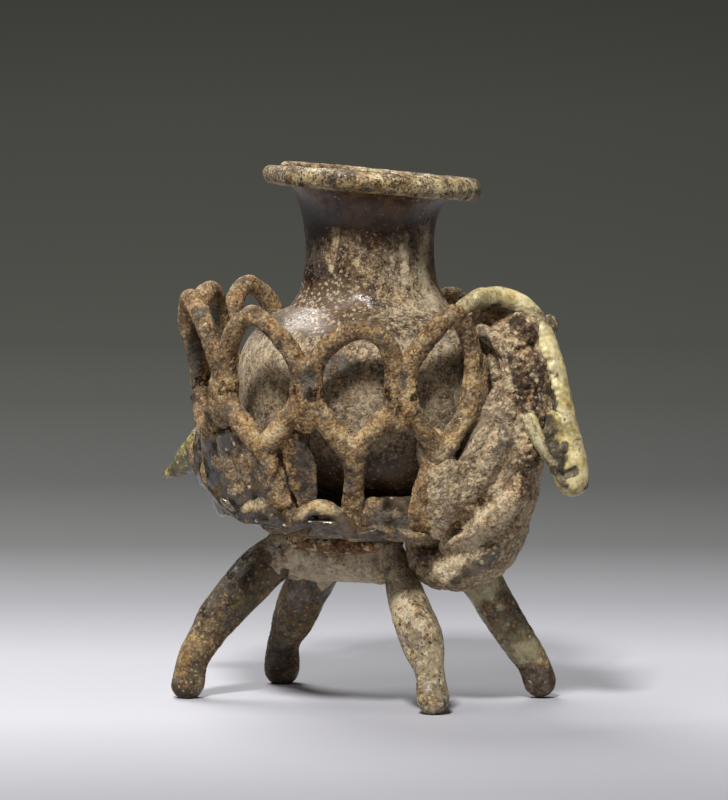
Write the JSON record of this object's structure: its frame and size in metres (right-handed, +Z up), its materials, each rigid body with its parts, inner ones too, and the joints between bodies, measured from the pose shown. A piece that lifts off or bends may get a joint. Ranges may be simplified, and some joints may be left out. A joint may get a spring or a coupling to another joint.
{
  "type": "figural flask",
  "caption": "Weathered blown glass flask held in an open cage of trailed loops on the back of a four-legged animal with a pale trailed head.",
  "frame": {"origin": "on the ground, under the middle of the whole piece's box", "axes": "+Z up out of the flask's mouth, +X towards the animal's head, -Y its right flank"},
  "size_m": [0.0978, 0.0748, 0.1117],
  "materials": {
    "flask_glass": "glossy dark glass under tan weathering specks, matt on the body",
    "rim_glass": "opaque cream trail, semi-gloss, with brown pits",
    "cage_glass": "dark blue-green glass under rust and cream crust, mostly matt",
    "tray_glass": "dark translucent glass, glossy at its scalloped edge",
    "pad_crust": "matt rust brown crust",
    "animal_glass": "mottled brown, tan and olive glass, semi-gloss",
    "chest_crust": "matt tan and grey crust",
    "pale_glass": "opaque pale yellow glass, cracked and pitted, semi-gloss",
    "olive_glass": "clear olive glass, glossy"
  },
  "bodies": {
    "root": {"belly": "animal_glass", "cage_fork_1": "cage_glass", "cage_fork_2": "cage_glass", "cage_fork_3": "cage_glass", "cage_fork_4": "cage_glass", "cage_fork_5": "cage_glass", "cage_fork_6": "cage_glass", "cage_fork_7": "cage_glass", "cage_fork_8": "cage_glass", "cage_fork_9": "cage_glass", "cage_loop_1": "cage_glass", "cage_loop_2": "cage_glass", "cage_loop_3": "cage_glass", "cage_loop_4": "cage_glass", "cage_loop_5": "cage_glass", "cage_loop_6": "cage_glass", "cage_loop_7": "cage_glass", "cage_loop_8": "cage_glass", "cage_loop_9": "cage_glass", "ear": "olive_glass", "flask_body": "flask_glass", "head": "pale_glass", "leg_front_left": "animal_glass", "leg_front_right": "animal_glass", "leg_rear_left": "animal_glass", "leg_rear_right": "animal_glass", "neck": "chest_crust", "rim_trail": "rim_glass", "saddle_pad": "pad_crust", "tail": "olive_glass", "tray": "tray_glass"}
  },
  "joints": []
}
